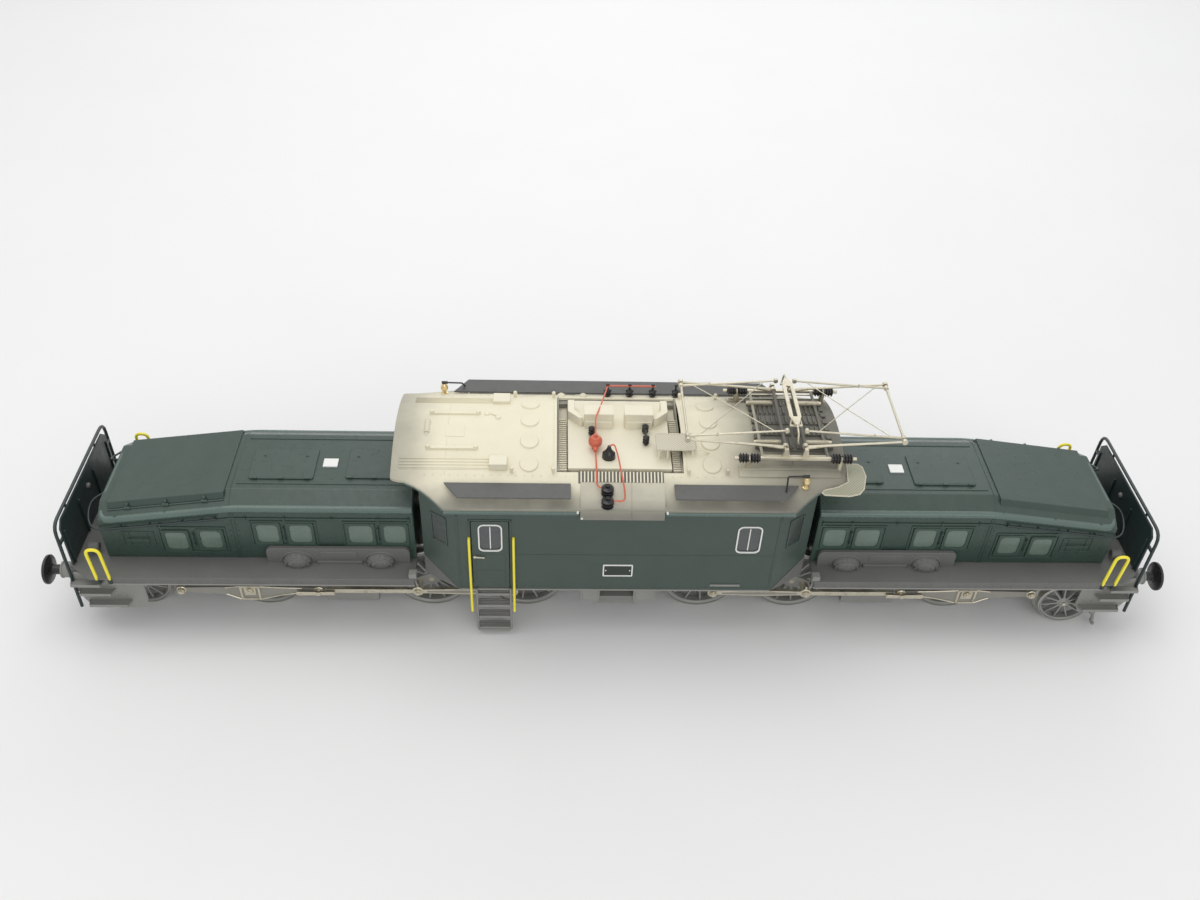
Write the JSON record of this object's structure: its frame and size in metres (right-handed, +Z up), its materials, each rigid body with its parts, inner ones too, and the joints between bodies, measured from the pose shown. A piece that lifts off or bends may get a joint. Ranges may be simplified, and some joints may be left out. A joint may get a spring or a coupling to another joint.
{
  "type": "model electric locomotive",
  "caption": "Articulated rod-drive model electric locomotive with a centre cab, two sloped hoods and a folding roof pantograph.",
  "frame": {"origin": "midway along and across the locomotive, at the lowest point of the wheel flanges", "axes": "+X along the locomotive, +Z up, -Y the near side with the left-hand door"},
  "size_m": [0.608, 0.0952, 0.1296],
  "materials": {
    "green_paint": "satin dark green paint",
    "green_top": "satin grey-green paint",
    "roof_cream": "matt cream paint, greyed with soot near the pantograph",
    "deck_grey": "matt dark grey paint",
    "frame_grey": "matt warm grey paint",
    "wheel_grey": "matt warm grey paint with bare treads",
    "rod_nickel": "nickel-plated",
    "dark_steel": "satin green-black paint",
    "buffer_black": "satin black",
    "panto_nickel": "dull nickel silver",
    "insulator_black": "gloss black",
    "motor_steel": "plated",
    "gear_brass": "bare brass",
    "board_green": "green circuit board",
    "speaker_black": "matt black"
  },
  "bodies": {
    "centre_section": {"main_frame": "frame_grey", "cab_shell": "green_paint", "cab_roof": "roof_cream", "roof_tray": "roof_cream", "lead_in_insulator": "insulator_black", "roof_step_board": "roof_cream", "cab_ladder_near": "frame_grey", "cab_ladder_far": "frame_grey", "equipment_box_near": "frame_grey", "equipment_box_far": "frame_grey", "circuit_board": "board_green", "loudspeaker": "speaker_black", "pantograph_base": "panto_nickel"},
    "door_near": {"cab_door_near": "green_paint"},
    "door_far": {"cab_door_far": "green_paint"},
    "lower_arm_left": {"pantograph_lower_arm_left": "panto_nickel"},
    "lower_arm_right": {"pantograph_lower_arm_right": "panto_nickel"},
    "upper_arm_left": {"pantograph_upper_arm_left": "panto_nickel"},
    "upper_arm_right": {"pantograph_upper_arm_right": "panto_nickel"},
    "collector": {"collector_head": "panto_nickel"},
    "bogie_left": {"bogie_frame_left": "frame_grey", "deck_left": "deck_grey", "hood_left": "green_top", "end_panel_left": "dark_steel", "motor_left": "motor_steel"},
    "drivers_inner_left": {"driving_wheelset_inner_left": "wheel_grey"},
    "drivers_middle_left": {"driving_wheelset_middle_left": "wheel_grey"},
    "drivers_outer_left": {"driving_wheelset_outer_left": "wheel_grey"},
    "jackshaft_inner_left": {"jackshaft_inner_left": "wheel_grey"},
    "jackshaft_outer_left": {"jackshaft_outer_left": "wheel_grey"},
    "rods_near_left": {"coupling_rod_near_left": "rod_nickel", "frame_rod_near_left": "rod_nickel"},
    "buffer_near_left": {"buffer_near_left": "buffer_black"},
    "rods_far_left": {"coupling_rod_far_left": "rod_nickel", "frame_rod_far_left": "rod_nickel"},
    "buffer_far_left": {"buffer_far_left": "buffer_black"},
    "pinion_left": {"motor_pinion_left": "gear_brass"},
    "hook_left": {"draw_hook_left": "buffer_black"},
    "truck_left": {"carrying_truck_left": "frame_grey"},
    "carriers_left": {"carrying_wheelset_left": "wheel_grey"},
    "bogie_right": {"bogie_frame_right": "frame_grey", "deck_right": "deck_grey", "hood_right": "green_top", "end_panel_right": "dark_steel", "motor_right": "motor_steel"},
    "drivers_inner_right": {"driving_wheelset_inner_right": "wheel_grey"},
    "drivers_middle_right": {"driving_wheelset_middle_right": "wheel_grey"},
    "drivers_outer_right": {"driving_wheelset_outer_right": "wheel_grey"},
    "jackshaft_inner_right": {"jackshaft_inner_right": "wheel_grey"},
    "jackshaft_outer_right": {"jackshaft_outer_right": "wheel_grey"},
    "rods_near_right": {"coupling_rod_near_right": "rod_nickel", "frame_rod_near_right": "rod_nickel"},
    "buffer_near_right": {"buffer_near_right": "buffer_black"},
    "rods_far_right": {"coupling_rod_far_right": "rod_nickel", "frame_rod_far_right": "rod_nickel"},
    "buffer_far_right": {"buffer_far_right": "buffer_black"},
    "pinion_right": {"motor_pinion_right": "gear_brass"},
    "hook_right": {"draw_hook_right": "buffer_black"},
    "truck_right": {"carrying_truck_right": "frame_grey"},
    "carriers_right": {"carrying_wheelset_right": "wheel_grey"}
  },
  "joints": [
    {"name": "door_near_swing", "type": "hinge", "parent": "centre_section", "child": "door_near", "pos_m": [-0.056, -0.0461, 0], "axis": [0, 0, 1], "range_deg": [0, 85]},
    {"name": "door_far_swing", "type": "hinge", "parent": "centre_section", "child": "door_far", "pos_m": [0.056, 0.0461, 0], "axis": [0, 0, 1], "range_deg": [0, 85]},
    {"name": "pantograph_raise", "type": "hinge", "parent": "centre_section", "child": "lower_arm_left", "pos_m": [0.083, 0, 0.118], "axis": [0, 1, 0], "range_deg": [0, 55]},
    {"name": "right_lower_arm_turn", "type": "hinge", "parent": "centre_section", "child": "lower_arm_right", "pos_m": [0.093, 0, 0.118], "axis": [0, -1, 0], "range_deg": [0, 55]},
    {"name": "left_knee", "type": "hinge", "parent": "lower_arm_left", "child": "upper_arm_left", "pos_m": [0.03316, 0, 0.12201], "axis": [0, -1, 0], "range_deg": [0, 110]},
    {"name": "right_knee", "type": "hinge", "parent": "lower_arm_right", "child": "upper_arm_right", "pos_m": [0.14284, 0, 0.12201], "axis": [0, 1, 0], "range_deg": [0, 110]},
    {"name": "collector_level", "type": "hinge", "parent": "upper_arm_left", "child": "collector", "pos_m": [0.083, 0, 0.12602], "axis": [0, 1, 0], "range_deg": [0, 55]},
    {"name": "bogie_left_swivel", "type": "hinge", "parent": "centre_section", "child": "bogie_left", "pos_m": [-0.075, 0, 0.04], "axis": [0, 0, 1], "range_deg": [-4, 4]},
    {"name": "drive_left", "type": "hinge", "parent": "bogie_left", "child": "drivers_inner_left", "pos_m": [-0.048, 0, 0.0227], "axis": [0, 1, 0], "continuous": true},
    {"name": "drivers_middle_left_turn", "type": "hinge", "parent": "bogie_left", "child": "drivers_middle_left", "pos_m": [-0.0996, 0, 0.0227], "axis": [0, 1, 0], "continuous": true},
    {"name": "drivers_outer_left_turn", "type": "hinge", "parent": "bogie_left", "child": "drivers_outer_left", "pos_m": [-0.19, 0, 0.0227], "axis": [0, 1, 0], "continuous": true},
    {"name": "jackshaft_inner_left_turn", "type": "hinge", "parent": "bogie_left", "child": "jackshaft_inner_left", "pos_m": [-0.153, 0, 0.0227], "axis": [0, 1, 0], "continuous": true},
    {"name": "jackshaft_outer_left_turn", "type": "hinge", "parent": "bogie_left", "child": "jackshaft_outer_left", "pos_m": [-0.2265, 0, 0.0227], "axis": [0, 1, 0], "continuous": true},
    {"name": "rods_near_left_turn", "type": "hinge", "parent": "drivers_inner_left", "child": "rods_near_left", "pos_m": [-0.05505, 0, 0.02014], "axis": [0, 1, 0], "continuous": true},
    {"name": "buffer_near_left_spring", "type": "slide", "parent": "bogie_left", "child": "buffer_near_left", "axis": [1, 0, 0], "range_m": [0, 0.0025], "stiffness_N_per_m": 400},
    {"name": "rods_far_left_turn", "type": "hinge", "parent": "drivers_inner_left", "child": "rods_far_left", "pos_m": [-0.05056, 0, 0.02975], "axis": [0, 1, 0], "continuous": true},
    {"name": "buffer_far_left_spring", "type": "slide", "parent": "bogie_left", "child": "buffer_far_left", "axis": [1, 0, 0], "range_m": [0, 0.0025], "stiffness_N_per_m": 400},
    {"name": "motor_left_turn", "type": "hinge", "parent": "bogie_left", "child": "pinion_left", "pos_m": [-0.144, 0, 0.03863], "axis": [0, 1, 0], "continuous": true},
    {"name": "draw_hook_left_swing", "type": "hinge", "parent": "bogie_left", "child": "hook_left", "pos_m": [-0.288, 0, 0.033], "axis": [0, 0, 1], "range_deg": [-8, 8]},
    {"name": "truck_left_swing", "type": "hinge", "parent": "bogie_left", "child": "truck_left", "pos_m": [-0.159, 0, 0.014], "axis": [0, 0, 1], "range_deg": [-6.2, 6.2]},
    {"name": "carriers_left_turn", "type": "hinge", "parent": "truck_left", "child": "carriers_left", "pos_m": [-0.256, 0, 0.0158], "axis": [0, 1, 0], "continuous": true},
    {"name": "bogie_right_swivel", "type": "hinge", "parent": "centre_section", "child": "bogie_right", "pos_m": [0.075, 0, 0.04], "axis": [0, 0, 1], "range_deg": [-4, 4]},
    {"name": "drive_right", "type": "hinge", "parent": "bogie_right", "child": "drivers_inner_right", "pos_m": [0.048, 0, 0.0227], "axis": [0, 1, 0], "continuous": true},
    {"name": "drivers_middle_right_turn", "type": "hinge", "parent": "bogie_right", "child": "drivers_middle_right", "pos_m": [0.0996, 0, 0.0227], "axis": [0, 1, 0], "continuous": true},
    {"name": "drivers_outer_right_turn", "type": "hinge", "parent": "bogie_right", "child": "drivers_outer_right", "pos_m": [0.19, 0, 0.0227], "axis": [0, 1, 0], "continuous": true},
    {"name": "jackshaft_inner_right_turn", "type": "hinge", "parent": "bogie_right", "child": "jackshaft_inner_right", "pos_m": [0.153, 0, 0.0227], "axis": [0, 1, 0], "continuous": true},
    {"name": "jackshaft_outer_right_turn", "type": "hinge", "parent": "bogie_right", "child": "jackshaft_outer_right", "pos_m": [0.2265, 0, 0.0227], "axis": [0, 1, 0], "continuous": true},
    {"name": "rods_near_right_turn", "type": "hinge", "parent": "drivers_inner_right", "child": "rods_near_right", "pos_m": [0.05505, 0, 0.02014], "axis": [0, 1, 0], "continuous": true},
    {"name": "buffer_near_right_spring", "type": "slide", "parent": "bogie_right", "child": "buffer_near_right", "axis": [-1, 0, 0], "range_m": [0, 0.0025], "stiffness_N_per_m": 400},
    {"name": "rods_far_right_turn", "type": "hinge", "parent": "drivers_inner_right", "child": "rods_far_right", "pos_m": [0.05056, 0, 0.02975], "axis": [0, 1, 0], "continuous": true},
    {"name": "buffer_far_right_spring", "type": "slide", "parent": "bogie_right", "child": "buffer_far_right", "axis": [-1, 0, 0], "range_m": [0, 0.0025], "stiffness_N_per_m": 400},
    {"name": "motor_right_turn", "type": "hinge", "parent": "bogie_right", "child": "pinion_right", "pos_m": [0.144, 0, 0.03863], "axis": [0, 1, 0], "continuous": true},
    {"name": "draw_hook_right_swing", "type": "hinge", "parent": "bogie_right", "child": "hook_right", "pos_m": [0.288, 0, 0.033], "axis": [0, 0, 1], "range_deg": [-8, 8]},
    {"name": "truck_right_swing", "type": "hinge", "parent": "bogie_right", "child": "truck_right", "pos_m": [0.159, 0, 0.014], "axis": [0, 0, 1], "range_deg": [0, 12.4]},
    {"name": "carriers_right_turn", "type": "hinge", "parent": "truck_right", "child": "carriers_right", "pos_m": [0.25543, -0.01048, 0.0158], "axis": [0.108, 0.9942, 0], "continuous": true}
  ],
  "couplings": [
    {"joint": "right_lower_arm_turn", "follows": "pantograph_raise", "ratio": 1},
    {"joint": "left_knee", "follows": "pantograph_raise", "ratio": 2},
    {"joint": "right_knee", "follows": "pantograph_raise", "ratio": 2},
    {"joint": "collector_level", "follows": "pantograph_raise", "ratio": 1},
    {"joint": "drivers_middle_left_turn", "follows": "drive_left", "ratio": 1},
    {"joint": "drivers_outer_left_turn", "follows": "drive_left", "ratio": 1},
    {"joint": "jackshaft_inner_left_turn", "follows": "drive_left", "ratio": 1},
    {"joint": "jackshaft_outer_left_turn", "follows": "drive_left", "ratio": 1},
    {"joint": "rods_near_left_turn", "follows": "drive_left", "ratio": -1},
    {"joint": "rods_far_left_turn", "follows": "drive_left", "ratio": -1},
    {"joint": "motor_left_turn", "follows": "drive_left", "ratio": -3.5},
    {"joint": "drivers_middle_right_turn", "follows": "drive_right", "ratio": 1},
    {"joint": "drivers_outer_right_turn", "follows": "drive_right", "ratio": 1},
    {"joint": "jackshaft_inner_right_turn", "follows": "drive_right", "ratio": 1},
    {"joint": "jackshaft_outer_right_turn", "follows": "drive_right", "ratio": 1},
    {"joint": "rods_near_right_turn", "follows": "drive_right", "ratio": -1},
    {"joint": "rods_far_right_turn", "follows": "drive_right", "ratio": -1},
    {"joint": "motor_right_turn", "follows": "drive_right", "ratio": -3.5}
  ]
}
